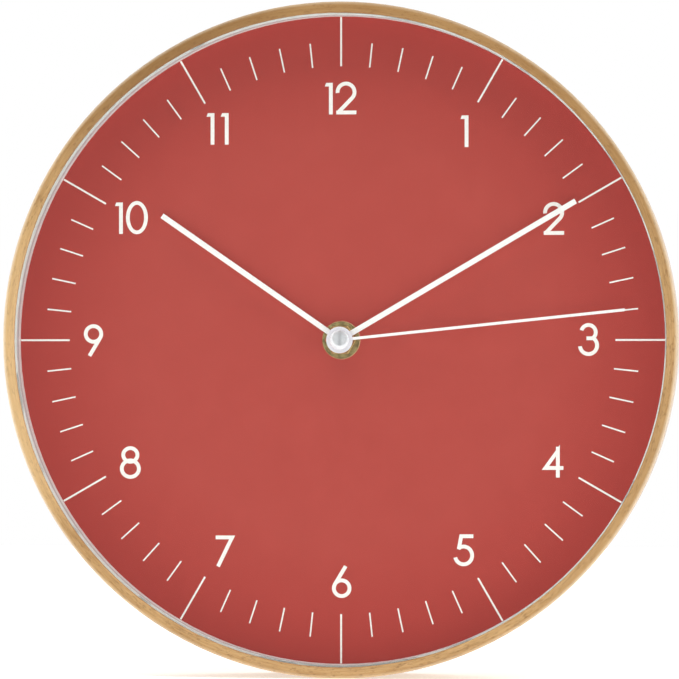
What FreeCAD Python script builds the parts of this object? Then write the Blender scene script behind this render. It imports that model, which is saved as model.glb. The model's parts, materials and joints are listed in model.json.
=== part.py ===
"""Wall clock with a bent-wood case, a flat printed dial and a quartz movement.

Millimetres. +X is to the right from the front, +Z is up and the dial faces -Y.
The hand axis is the Y axis, and y = 0 is half-way through the case's depth.
A positive turn about +Y is clockwise from the front.
"""
import FreeCAD
import Part
import math
import os

import PartDesign
import Sketcher
from FreeCAD import Placement, Rotation, Vector

# Driving dimensions: alias, value. A value that starts with "=" is worked out from others.
DIMENSIONS = [
    # Case
    ("case_radius", 150),
    ("case_depth", 42),
    ("lip_depth", 2),
    ("lip_radius", 145),
    ("rebate_radius", 146.1),
    ("outer_edge_round", 1.3),
    ("inner_edge_round", 0.6),
    ("case_front", "=-case_depth / 2"),
    ("case_back", "=case_depth / 2"),
    ("lip_back", "=case_front + lip_depth"),
    # Lens, ring and dial, stacked behind the lip
    ("stack_radius", 145.9),
    ("lens_thickness", 2),
    ("ring_radius", 144.4),
    ("ring_depth", 11.5),
    ("seal_radius", 145.1),
    ("seal_gap", 1.6),
    ("seal_width", 4.2),
    ("dial_thickness", 0.4),
    ("dial_hole_radius", 4.15),
    ("board_thickness", 4),
    ("gasket_thickness", 0.6),
    ("gasket_radius", 13),
    ("lens_back", "=lip_back + lens_thickness"),
    ("seal_front", "=lens_back + seal_gap"),
    ("seal_back", "=seal_front + seal_width"),
    ("dial_front", "=lens_back + ring_depth"),
    ("board_front", "=dial_front + dial_thickness"),
    ("board_back", "=board_front + board_thickness"),
    ("housing_front", "=board_back + gasket_thickness"),
    # Printing on the dial
    ("ink_thickness", 0.08),
    ("mark_inner", 122.2),
    ("minute_mark_outer", 133),
    ("hour_mark_outer", 144.2),
    ("minute_mark_width", 0.66),
    ("hour_mark_width", 0.82),
    ("numeral_height", 14.6),
    ("numeral_stroke", 1.7),
    ("numeral_reach_x", 110.6),
    ("numeral_reach_z", 108),
    # Washer, nut and threaded bush
    ("washer_radius", 8.6),
    ("washer_thickness", 0.6),
    ("washer_edge", 0.25),
    ("nut_corner_radius", 7),
    ("nut_thickness", 2.2),
    ("nut_bore_radius", 4.05),
    ("nut_chamfer", 0.35),
    ("bush_radius", 4),
    ("bush_bore_radius", 2.75),
    ("bush_reach", 0.6),
    ("thread_pitch", 0.75),
    ("thread_depth", 0.3),
    ("thread_turns", 6),
    ("washer_front", "=dial_front - washer_thickness"),
    ("nut_front", "=washer_front - nut_thickness"),
    ("bush_front", "=nut_front - bush_reach"),
    ("thread_root_radius", "=bush_radius - thread_depth"),
    ("thread_start", "=bush_front + thread_pitch"),
    ("thread_middle", "=thread_start + thread_pitch / 2"),
    ("thread_end", "=thread_start + thread_pitch * 0.8"),
    # Hands
    ("hand_thickness", 0.4),
    ("hand_gap", 2),
    ("hour_hand_front", "=bush_front - 1.5"),
    ("minute_hand_front", "=hour_hand_front - hand_gap"),
    ("second_hand_front", "=minute_hand_front - 1.8"),
    ("hand_width", 2.4),
    ("hour_hand_length", 97.3),
    ("minute_hand_length", 121.5),
    ("hand_boss_radius", 5.2),
    ("second_hand_width", 1.25),
    ("second_hand_length", 127.2),
    ("second_boss_radius", 5.9),
    ("second_collar_radius", 1.5),
    ("second_collar_back", "=second_hand_front + 1.5"),
    ("cap_radius", 4.35),
    ("cap_height", 2),
    ("cap_rim", 0.5),
    ("cap_front", "=second_hand_front - cap_height"),
    ("cap_rim_front", "=second_hand_front - cap_rim"),
    ("hour_hand_angle", -55.2),
    ("minute_hand_angle", 59.6),
    ("second_hand_angle", 84),
    # Tubes and arbors of the hands
    ("hour_tube_radius", 2.65),
    ("hour_tube_bore", 1.75),
    ("minute_tube_radius", 1.65),
    ("minute_tube_bore", 0.65),
    ("cannon_tube_radius", 1.45),
    ("second_arbor_radius", 0.55),
    ("arbor_radius", 0.4),
    ("pivot_hole_radius", 0.48),
    ("centre_hole_radius", 0.75),
    ("stud_radius", 0.6),
    ("stud_bore_radius", 0.68),
    # Movement case
    ("housing_half", 28),
    ("housing_corner", 2),
    ("front_wall", 1.5),
    ("side_wall", 1.1),
    ("chamber_depth", 12.8),
    ("cover_thickness", 1.3),
    ("cover_round", 0.5),
    ("bay_top", -11.7),
    ("chamber_bottom", -10.5),
    ("cover_bottom", -11.1),
    ("chamber_half", "=housing_half - side_wall"),
    ("level_zero", "=housing_front + front_wall"),
    ("housing_back", "=level_zero + chamber_depth"),
    ("cover_back", "=housing_back + cover_thickness"),
    ("notch_half", 9),
    ("notch_outer", "=housing_half + 1"),
    ("notch_inner", "=chamber_half - 0.5"),
    ("notch_front", "=housing_back - 5"),
    ("socket_depth", 0.7),
    ("socket_front", "=level_zero - socket_depth"),
    # Arbor positions, from the hand axis
    ("third_x", -8.37),
    ("third_z", -1.48),
    ("fifth_x", 3.5),
    ("fifth_z", 6.06),
    ("rotor_x", 5.05),
    ("rotor_z", 11.86),
    ("stud_x", 6.24),
    ("stud_z", -3.6),
    ("setting_x", 13.44),
    ("setting_z", -3.6),
    # Gear cutting: tooth heights as multiples of the module
    ("addendum", 0.65),
    ("dedendum", 0.95),
    ("tooth_share", 0.41),
    ("tip_share", 0.2),
    ("thin_gear", 0.8),
    ("hour_gear", 0.9),
    # Depths of the wheels behind level_zero
    ("hour_wheel_level", "=level_zero + 0.3"),
    ("hour_wheel_back", "=hour_wheel_level + hour_gear"),
    ("cannon_level", "=level_zero + 1.5"),
    ("motion_level", "=level_zero + 1.6"),
    ("motion_back", "=motion_level + thin_gear"),
    ("motion_gear", 1.1),
    ("motion_hub", 1.3),
    ("stud_back", "=level_zero + 2.6"),
    ("centre_level", "=level_zero + 3"),
    ("centre_back", "=centre_level + thin_gear"),
    ("third_pinion_level", "=level_zero + 2.9"),
    ("third_level", "=level_zero + 5.4"),
    ("second_pinion_level", "=level_zero + 5.3"),
    ("second_level", "=level_zero + 6.9"),
    ("fifth_pinion_level", "=level_zero + 6.8"),
    ("fifth_level", "=level_zero + 8.3"),
    ("rotor_pinion_level", "=level_zero + 8.2"),
    ("pinion_width", 1.1),
    ("upper_pinion_width", 1.2),
    ("third_arbor_front", "=level_zero - 0.6"),
    ("setting_front", "=level_zero - 0.6"),
    # Plates that carry the arbors
    ("plate_left", -17),
    ("plate_right", 11),
    ("plate_bottom", -9.9),
    ("plate_top", 15.5),
    ("plate_thickness", 1),
    ("plate_level", "=level_zero + 4.1"),
    ("plate_back", "=plate_level + plate_thickness"),
    ("bridge_level", "=level_zero + 9.7"),
    ("bridge_back", "=bridge_level + plate_thickness"),
    ("upper_arbor_front", "=plate_level + 0.2"),
    ("arbor_back", "=bridge_back - 0.3"),
    ("post_radius", 1.4),
    ("post_left", -15.3),
    ("post_right", 8.3),
    ("post_high", 13.8),
    ("post_low", -8.2),
    ("bridge_post_x", 9.2),
    ("bridge_post_z", -4.5),
    # Motor
    ("magnet_radius", 2.8),
    ("magnet_thickness", 1.6),
    ("magnet_level", "=level_zero + 5.3"),
    ("magnet_back", "=magnet_level + magnet_thickness"),
    ("stator_level", "=level_zero + 5.4"),
    ("stator_thickness", 0.8),
    ("stator_left", -9),
    ("stator_right", 19),
    ("stator_bottom", 7.9),
    ("stator_shoulder", 15.7),
    ("stator_top", 22.2),
    ("stator_arm_left", -4.4),
    ("stator_arm_right", 14.4),
    ("stator_hole_radius", 3.3),
    ("core_level", "=stator_level + stator_thickness"),
    ("core_thickness", 0.8),
    ("core_bottom", 19),
    ("core_top", 22),
    ("coil_z", 20.5),
    ("coil_depth", "=core_level + core_thickness / 2"),
    ("coil_left", -3.5),
    ("coil_right", 13.5),
    ("flange_radius", 4.5),
    ("flange_thickness", 0.8),
    ("flange_left", "=coil_left - flange_thickness"),
    ("flange_right", "=coil_right + flange_thickness"),
    ("winding_radius", 4),
    ("bobbin_radius", 2.2),
    # Circuit board
    ("circuit_left", -26),
    ("circuit_right", -18),
    ("circuit_bottom", -8),
    ("circuit_top", 14),
    ("circuit_level", "=level_zero + 6"),
    ("circuit_thickness", 0.8),
    ("circuit_back", "=circuit_level + circuit_thickness"),
    ("circuit_post_x", -22),
    ("circuit_post_low", -6),
    ("circuit_post_high", 12),
    ("crystal_radius", 1),
    ("crystal_length", 6.2),
    ("crystal_x", -23.5),
    ("crystal_z", 5),
    ("crystal_depth", "=circuit_back + crystal_radius"),
    ("chip_radius", 3),
    ("chip_height", 1),
    ("chip_round", 0.7),
    ("chip_x", -22),
    ("chip_z", -1),
    ("chip_back", "=circuit_back + chip_height"),
    # Battery and its contacts
    ("battery_z", -19.3),
    ("battery_can_radius", 7),
    ("battery_radius", 7.25),
    ("battery_clearance", 0.3),
    ("battery_depth", "=level_zero + battery_clearance + battery_radius"),
    ("can_left", -24.75),
    ("can_right", 24.25),
    ("nub_radius", 2.75),
    ("nub_right", 25.25),
    ("sleeve_left", -24.5),
    ("sleeve_right", 24),
    ("contact_front", "=battery_depth - 4"),
    ("contact_width", 8),
    ("contact_sheet", 0.4),
    ("contact_inner", "=chamber_half - contact_sheet"),
    ("contact_bottom", "=battery_z - 5"),
    ("contact_low", "=battery_z - 1.5"),
    ("contact_high", "=battery_z + 1.5"),
    ("contact_top", "=battery_z + 5"),
    ("positive_bump", "=nub_right + 0.1"),
    ("positive_bump_back", "=positive_bump + contact_sheet"),
    ("negative_bump", "=0.1 - can_left"),
    ("negative_bump_back", "=negative_bump + contact_sheet"),
    # Setting shaft and knob
    ("setting_shaft_radius", 1),
    ("setting_hole_radius", 1.2),
    ("setting_socket_radius", 1.08),
    ("knob_radius", 3.2),
    ("knob_front", "=cover_back + 0.5"),
    ("knob_back", "=knob_front + 3.6"),
    ("knob_round", 0.5),
    ("knob_groove_radius", 0.35),
    ("knob_grooves", 18),
    # Back of the case
    ("block_width", 30),
    ("block_inner", 131),
    ("block_depth", 14),
    ("hanger_half", 24),
    ("hanger_bottom", 100),
    ("plate_sheet", 1.2),
    ("keyhole_plate_half", 11),
    ("keyhole_plate_bottom", 104),
    ("keyhole_plate_top", 142),
    ("keyhole_z", 118),
    ("keyhole_radius", 4.5),
    ("keyhole_slot_half", 2.25),
    ("keyhole_slot_top", 129),
    ("hanger_pocket_half", 7),
    ("hanger_pocket_bottom", 111),
    ("hanger_pocket_top", 133),
    ("hanger_pocket_front", "=case_back - 14"),
    ("hanger_back", "=case_back - plate_sheet"),
    ("hanger_screw_low", 107.5),
    ("hanger_screw_high", 138),
    ("screw_hole_radius", 1.7),
    ("screw_countersink", 1),
    ("screw_radius", 1.5),
    ("screw_head_radius", 2.5),
    ("screw_slot_width", 0.6),
    ("screw_slot_depth", 0.5),
    ("screw_length", 11),
]

# Teeth and module of each gear.
GEARS = {
    "rotor_pinion": (10, 0.2),
    "fifth_wheel": (50, 0.2),
    "fifth_pinion": (10, 0.2),
    "second_wheel": (60, 0.2),
    "second_pinion": (8, 0.25),
    "third_wheel": (60, 0.25),
    "third_pinion": (8, 8.5 / 36),
    "centre_wheel": (64, 8.5 / 36),
    "cannon_pinion": (12, 0.3),
    "motion_wheel": (36, 0.3),
    "motion_pinion": (10, 0.288),
    "hour_wheel": (40, 0.288),
    "setting_pinion": (12, 0.3),
}

# Strokes of each digit, drawn up to 14.6 high with its foot at the origin. A bar runs between two
# points. A bow is an oval stroke: centre, half-width, half-height, then its start and end angles
# if it isn't whole. A flat is a filled outline.
DIGITS = {
    "0": [("bow", (0, 7.3), 4.95, 7.45)],
    "1": [
        ("bar", (0, 0), (0, 14.1)),
        ("flat", (-0.85, 14.1), (-2.1, 14.1), (-2.7, 12.5), (-0.85, 12.5)),
    ],
    "2": [
        ("bow", (0, 9.95), 4.65, 4.65, -44, 186),
        ("bar", (2.94, 7.53), (-3.68, 0.68)),
        ("bar", (-4.4, 0.85), (4.65, 0.85)),
    ],
    "3": [
        ("bow", (0, 4.7), 4.65, 4.7, -174, 58),
        ("bow", (0, 10.5), 4.05, 4.1, -52, 164),
        ("bar", (-0.9, 7.85), (2.1, 7.85)),
    ],
    "4": [
        ("flat", (-4.8, 3.4), (-2.77, 3.4), (3.2, 11.8), (3.2, 14.5)),
        ("bar", (-3.4, 4.25), (4.8, 4.25)),
        ("bar", (2.35, 0), (2.35, 13.7)),
    ],
    "5": [
        ("bow", (-0.2, 4.8), 4.65, 4.8, -166, 128),
        ("bar", (-1.95, 13.35), (4.15, 13.35)),
        ("bar", (-1.15, 13.9), (-2.35, 7.5)),
    ],
    "6": [("bow", (0, 4.35), 4.35, 4.35), ("bar", (1.8, 14.2), (-3, 6.15))],
    "7": [
        ("bar", (-4.3, 13.3), (3.8, 13.3)),
        ("flat", (-4, 0.67), (-2.5, -0.07), (4.4, 14.15), (2.55, 14.15)),
    ],
    "8": [("bow", (0, 4.55), 4.7, 4.55), ("bow", (0, 10.7), 4.05, 3.9)],
    "9": [("bow", (0, 10.25), 4.35, 4.35), ("bar", (-1.8, 0.4), (3, 8.45))],
}

# Each printed number: how far its foot is raised, then its digits, each with how far it stands
# to the side of the number's place.
NUMBERS = {
    1: (-0.35, ("1", 0.75)),
    2: (0, ("2", -1)),
    3: (0.2, ("3", -0.35)),
    4: (0.2, ("4", -1.5)),
    5: (0.2, ("5", -0.4)),
    6: (0.3, ("6", 0.25)),
    7: (-0.65, ("7", 3.3)),
    8: (-0.8, ("8", 1)),
    9: (-0.15, ("9", -0.85)),
    10: (0.9, ("1", -3.25), ("0", 3.95)),
    11: (1.2, ("1", -2.45), ("1", 3.95)),
    12: (0, ("1", -4.6), ("2", 2.2)),
}

doc = FreeCAD.newDocument("WallClock")
sheet = doc.addObject("Spreadsheet::Sheet", "dims")
made_parts = []


def fill_sheet():
    """Write every dimension into the sheet, with its alias."""
    gears = []
    for gear, (teeth, module) in GEARS.items():
        gears += [(f"{gear}_teeth", teeth), (f"{gear}_module", module)]
    for row, (alias, content) in enumerate(DIMENSIONS + gears, start=1):
        sheet.set(f"A{row}", alias)
        sheet.setAlias(f"B{row}", alias)
        sheet.set(f"B{row}", str(content))
    doc.recompute()


def value(term):
    """The number that a term such as "lens_back", "-lens_back" or "0" stands for."""
    if term == "0":
        return 0.0
    sign = -1.0 if term.startswith("-") else 1.0
    return sign * float(sheet.get(term.lstrip("-")))


def bind(target, path, term):
    """Drive one property of the target by a sheet term."""
    if term == "0":
        return
    target.setExpression(path, term.replace("-", "-dims.") if "-" in term else f"dims.{term}")


def keep(label, part):
    """Note a finished part, to be checked and written under its label."""
    made_parts.append((label, part))
    return part


def new_body(label, x="0", z="0"):
    """A body whose own axis stands at (x, z) on the front view."""
    body = doc.addObject("PartDesign::Body", label)
    body.Label = label
    bind(body, "Placement.Base.x", x)
    bind(body, "Placement.Base.z", z)
    return keep(label, body)


def origin_plane(body, role):
    """One of the body's own origin planes."""
    return next(f for f in body.Origin.OriginFeatures if f.Role == role)


def new_sketch(body, name, level="0", role="XZ_Plane", x="0", z="0", turn=0.0):
    """A sketch on a plane of the body; on XZ it faces forward at depth level."""
    sketch = body.newObject("Sketcher::SketchObject", name)
    sketch.AttachmentSupport = [(origin_plane(body, role), "")]
    sketch.MapMode = "FlatFace"
    sketch.AttachmentOffset = Placement(Vector(), Rotation(Vector(0, 0, 1), turn))
    bind(sketch, ".AttachmentOffset.Base.x", x)
    bind(sketch, ".AttachmentOffset.Base.y", z)
    if level != "0":
        inward = level.lstrip("-") if level.startswith("-") else f"-{level}"
        along = inward if role == "XZ_Plane" else level
        bind(sketch, ".AttachmentOffset.Base.z", along)
    return sketch


def pin_point(sketch, geometry, corner, across, up):
    """Fix one point of the sketch by two sheet terms."""
    for kind, term, axis in (("DistanceX", across, -2), ("DistanceY", up, -1)):
        if term == "0":
            sketch.addConstraint(Sketcher.Constraint("PointOnObject", geometry, corner, axis))
            continue
        rule = Sketcher.Constraint(kind, -1, 1, geometry, corner, value(term))
        bind(sketch, f"Constraints[{sketch.addConstraint(rule)}]", term)


def add_circle(sketch, radius, across="0", up="0"):
    """A circle, its radius and centre given as sheet terms."""
    centre = Vector(value(across), value(up), 0)
    index = sketch.addGeometry(Part.Circle(centre, Vector(0, 0, 1), value(radius)), False)
    rule = sketch.addConstraint(Sketcher.Constraint("Radius", index, value(radius)))
    bind(sketch, f"Constraints[{rule}]", radius)
    pin_point(sketch, index, 3, across, up)


def add_outline(sketch, corners):
    """A closed outline of straight lines through corners given as sheet terms."""
    places = [Vector(value(a), value(b), 0) for a, b in corners]
    first = sketch.GeometryCount
    count = len(places)
    for i in range(count):
        sketch.addGeometry(Part.LineSegment(places[i], places[(i + 1) % count]), False)
    for i in range(count):
        joined = first + (i + 1) % count
        sketch.addConstraint(Sketcher.Constraint("Coincident", first + i, 2, joined, 1))
    for i, (across, up) in enumerate(corners):
        pin_point(sketch, first + i, 1, across, up)


def add_box(sketch, left, right, bottom, top):
    """An upright rectangle between four sheet terms."""
    add_outline(sketch, [(left, bottom), (right, bottom), (right, top), (left, top)])


def pad(body, name, sketch, depth):
    """Material from the sketch backwards, to a depth given as a sheet alias or formula."""
    feature = body.newObject("PartDesign::Pad", name)
    feature.Profile = sketch
    feature.Reversed = True
    feature.setExpression("Length", depth)
    return feature


def pocket(body, name, sketch, depth):
    """A recess from the sketch backwards."""
    feature = body.newObject("PartDesign::Pocket", name)
    feature.Profile = sketch
    feature.setExpression("Length", depth)
    doc.recompute()
    return feature


def span(front, back):
    """A formula for the depth between two levels."""
    return f"dims.{back} - dims.{front}"


def disc(body, name, radius, front, back, bore=None):
    """A disc or ring about the body's axis, between two levels."""
    sketch = new_sketch(body, name + "Sketch", front)
    add_circle(sketch, radius)
    if bore:
        add_circle(sketch, bore)
    return pad(body, name, sketch, span(front, back))


def turned(body, name, corners, cut=False):
    """A profile of (radius, depth) corners turned about the body's axis."""
    sketch = new_sketch(body, name + "Sketch", role="XY_Plane")
    add_outline(sketch, corners)
    kind = "Groove" if cut else "Revolution"
    feature = body.newObject(f"PartDesign::{kind}", name)
    feature.Profile = sketch
    feature.ReferenceAxis = (sketch, ["V_Axis"])
    feature.Angle = 360
    return feature


def rod_along_x(body, name, axis, radius, left, right, bore):
    """A rod or tube along X between two sheet terms; axis is its (depth, height)."""
    sketch = new_sketch(body, name + "Sketch", left, role="YZ_Plane")
    add_circle(sketch, radius, *axis)
    if bore:
        add_circle(sketch, bore, *axis)
    pad(body, name, sketch, span(left, right)).Reversed = False


def hole(body, name, radius, x, z, front, back):
    """A round hole beside the body's axis, between two levels."""
    sketch = new_sketch(body, name + "Sketch", front, x=x, z=z)
    add_circle(sketch, radius)
    return pocket(body, name, sketch, span(front, back))


def post(body, name, radius, x, z, front, back):
    """A round post beside the body's axis, between two levels."""
    sketch = new_sketch(body, name + "Sketch", front, x=x, z=z)
    add_circle(sketch, radius)
    return pad(body, name, sketch, span(front, back))


def on_level(edge, level):
    """Whether the whole edge lies at one depth."""
    return all(near(corner.Point.y, value(level)) for corner in edge.Vertexes)


def runs_deep(edge):
    """Whether the edge runs straight from front to back."""
    first, last = edge.Vertexes[0].Point, edge.Vertexes[-1].Point
    return near(first.x, last.x) and near(first.z, last.z) and not near(first.y, last.y)


def reach(edge):
    """How far the edge's first corner is from the body's axis."""
    corner = edge.Vertexes[0].Point
    return math.hypot(corner.x, corner.z)


def dress(body, kind, name, test, size):
    """A fillet or chamfer on the edges that the test picks."""
    doc.recompute()
    base = body.Tip
    picked = [f"Edge{i}" for i, edge in enumerate(base.Shape.Edges, start=1) if test(edge)]
    feature = body.newObject(f"PartDesign::{kind}", name)
    feature.Base = (base, picked)
    feature.setExpression("Radius" if kind == "Fillet" else "Size", f"dims.{size}")
    doc.recompute()
    return feature


def ring_pattern(body, name, feature, sketch, count):
    """Repeat a feature evenly about the sketch's normal; count is a sheet alias."""
    pattern = body.newObject("PartDesign::PolarPattern", name)
    pattern.Originals = [feature]
    pattern.Axis = (sketch, ["N_Axis"])
    pattern.Angle = 360
    pattern.setExpression("Occurrences", f"dims.{count}")
    body.Tip = pattern
    doc.recompute()


def near(a, b):
    """Whether two lengths are the same to a hundredth."""
    return abs(a - b) < 0.01


def gear_radius(gear, height="0"):
    """A gear's radius at a height above its pitch circle that is given in modules."""
    return value(f"{gear}_module") * (value(f"{gear}_teeth") / 2 + value(height))


def tooth_corners(gear):
    """The six corners of one tooth that points along local X."""
    root, pitch, tip = (gear_radius(gear, h) for h in ("-dedendum", "0", "addendum"))
    half_pitch = math.pi / value(f"{gear}_teeth")
    wide, narrow = value("tooth_share") * half_pitch, value("tip_share") * half_pitch
    buried = 0.97 * root
    flank = [(buried, -wide), (pitch, -wide), (tip, -narrow)]
    corners = flank + [(radius, -turn) for radius, turn in reversed(flank)]
    return [Vector(r * math.cos(a), r * math.sin(a), 0) for r, a in corners]


def add_gear(body, gear, level, width, phase):
    """A toothed disc about the body's axis; level and width are sheet aliases."""
    rim = new_sketch(body, f"{gear}_rim_sketch", level)
    root = gear_radius(gear, "-dedendum")
    index = rim.addGeometry(Part.Circle(Vector(), Vector(0, 0, 1), root), False)
    rim.addConstraint(Sketcher.Constraint("Coincident", index, 3, -1, 1))
    rule = rim.addConstraint(Sketcher.Constraint("Radius", index, root))
    rim.setExpression(f"Constraints[{rule}]",
                      f"dims.{gear}_module * (dims.{gear}_teeth / 2 - dims.dedendum)")
    pad(body, f"{gear}_rim", rim, f"dims.{width}")

    tooth = new_sketch(body, f"{gear}_tooth_sketch", level, turn=math.degrees(phase))
    places = tooth_corners(gear)
    count = len(places)
    for i, place in enumerate(places):
        tooth.addGeometry(Part.LineSegment(place, places[(i + 1) % count]), False)
    for i, place in enumerate(places):
        tooth.addConstraint(Sketcher.Constraint("Coincident", i, 2, (i + 1) % count, 1))
        tooth.addConstraint(Sketcher.Constraint("DistanceX", -1, 1, i, 1, place.x))
        tooth.addConstraint(Sketcher.Constraint("DistanceY", -1, 1, i, 1, place.y))
    one = pad(body, f"{gear}_tooth", tooth, f"dims.{width}")
    ring_pattern(body, f"{gear}_teeth", one, tooth, f"{gear}_teeth")


def meshing_phase(driver, driver_phase, driven, direction):
    """The turn of a driven gear that puts its gaps on the driver's teeth.

    direction is the angle of the line from the driver's axis to the driven gear's.
    """
    driver_teeth, driven_teeth = value(f"{driver}_teeth"), value(f"{driven}_teeth")
    offset = (direction - driver_phase) * driver_teeth / (2 * math.pi) % 1
    return direction + math.pi - (0.5 - offset) * 2 * math.pi / driven_teeth


def direction_of(start, end):
    """The angle, on the front view, of the line between two arbors, given as (x, z) terms."""
    return math.atan2(value(end[1]) - value(start[1]), value(end[0]) - value(start[0]))


# Case and what is stacked in it -------------------------------------------------------------

def build_frame():
    """The bent-wood hoop with its front lip."""
    body = new_body("wood_frame")
    turned(body, "Hoop", [
        ("lip_radius", "case_front"), ("case_radius", "case_front"),
        ("case_radius", "case_back"), ("rebate_radius", "case_back"),
        ("rebate_radius", "lip_back"), ("lip_radius", "lip_back"),
    ])

    for name, radius, size in (("OuterEdge", "case_radius", "outer_edge_round"),
                               ("InnerEdge", "lip_radius", "inner_edge_round")):
        dress(body, "Fillet", name,
              lambda e: on_level(e, "case_front") and near(reach(e), value(radius)), size)


def build_lens():
    """The clear front lens."""
    disc(new_body("glass_lens"), "Lens", "stack_radius", "lip_back", "lens_back")


def build_ring():
    """The white ring between the lens and the dial, and the seal in its groove."""
    turned(new_body("inner_ring"), "Ring", [
        ("ring_radius", "lens_back"), ("stack_radius", "lens_back"),
        ("stack_radius", "dial_front"), ("ring_radius", "dial_front"),
        ("ring_radius", "seal_back"), ("seal_radius", "seal_back"),
        ("seal_radius", "seal_front"), ("ring_radius", "seal_front"),
    ])
    disc(new_body("ring_seal"), "Seal", "seal_radius", "seal_front", "seal_back", "ring_radius")


def build_dial():
    """The dial sheet and the board behind it."""
    disc(new_body("dial_face"), "Sheet", "stack_radius", "dial_front", "board_front",
         "dial_hole_radius")
    disc(new_body("dial_board"), "Board", "stack_radius", "board_front", "board_back",
         "dial_hole_radius")
    disc(new_body("rubber_gasket"), "Gasket", "gasket_radius", "board_back", "housing_front",
         "dial_hole_radius")


# Printing on the dial -----------------------------------------------------------------------

def flat(points):
    """A flat face through (x, y) points."""
    places = [Vector(x, y, 0) for x, y in points]
    return Part.Face(Part.makePolygon(places + places[:1]))


def bar(start, end):
    """A straight stroke with square ends between two points."""
    along = Vector(end[0] - start[0], end[1] - start[1], 0).normalize()
    side = Vector(-along.y, along.x, 0) * (value("numeral_stroke") / 2)
    return flat([
        (start[0] - side.x, start[1] - side.y), (end[0] - side.x, end[1] - side.y),
        (end[0] + side.x, end[1] + side.y), (start[0] + side.x, start[1] + side.y),
    ])


def oval(centre, across, up):
    """An oval face with the given half-widths."""
    middle = Vector(centre[0], centre[1], 0)
    if near(across, up):
        curve = Part.Circle(middle, Vector(0, 0, 1), across)
    else:
        far, side = middle + Vector(across, 0, 0), middle + Vector(0, up, 0)
        ends = (far, side) if across > up else (side, middle - Vector(across, 0, 0))
        curve = Part.Ellipse(ends[0], ends[1], middle)
    return Part.Face(Part.Wire(curve.toShape()))


def bow(centre, across, up, start=None, end=None):
    """An oval stroke, whole or from the start angle anticlockwise to the end, in degrees."""
    stroke = value("numeral_stroke")
    loop = oval(centre, across, up).cut(oval(centre, across - stroke, up - stroke))
    if start is None:
        return loop
    reach = 3 * max(across, up)
    steps = 6
    turns = [math.radians(start + (end - start) * i / steps) for i in range(steps + 1)]
    fan = [(centre[0] + reach * math.cos(t), centre[1] + reach * math.sin(t)) for t in turns]
    return loop.common(flat([centre] + fan))


def digit_shape(digit):
    """One digit as a solid, standing on the origin, drawn in the XY plane."""
    draw = {"bar": bar, "bow": bow, "flat": lambda *points: flat(points)}
    thick = Vector(0, 0, value("ink_thickness"))
    solids = [draw[kind](*shape).extrude(thick) for kind, *shape in DIGITS[digit]]
    if len(solids) == 1:
        return solids[0]
    return solids[0].multiFuse(solids[1:]).removeSplitter()


def add_printing(label, solids):
    """Ink drawn in the XY plane about the hand axis, laid on the front of the dial."""
    part = doc.addObject("Part::Feature", label)
    part.Label = label
    part.Shape = Part.makeCompound(solids)
    part.Placement = Placement(Vector(0, value("dial_front"), 0), Rotation(Vector(1, 0, 0), 90))
    keep(label, part)


def build_numerals():
    """The numbers 1 to 12, all upright."""
    solids = []
    for number, (rise, *digits) in NUMBERS.items():
        turn = math.radians(30 * number)
        across = value("numeral_reach_x") * math.sin(turn)
        foot = value("numeral_reach_z") * math.cos(turn) - value("numeral_height") / 2 + rise
        for digit, shift in digits:
            shape = digit_shape(digit)
            shape.translate(Vector(across + shift, foot, 0))
            solids += shape.Solids
    add_printing("dial_numerals", solids)


def build_minute_track():
    """Sixty marks: every fifth is an hour mark that runs to the dial's edge."""
    solids = []
    for minute in range(60):
        kind = "minute" if minute % 5 else "hour"
        width = value(f"{kind}_mark_width")
        inner = value("mark_inner")
        mark = Part.makeBox(width, value(f"{kind}_mark_outer") - inner, value("ink_thickness"),
                            Vector(-width / 2, inner, 0))
        mark.rotate(Vector(), Vector(0, 0, 1), -6 * minute)
        solids.append(mark)
    add_printing("dial_minute_track", solids)


# Fixings on the hand axis -------------------------------------------------------------------

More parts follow.
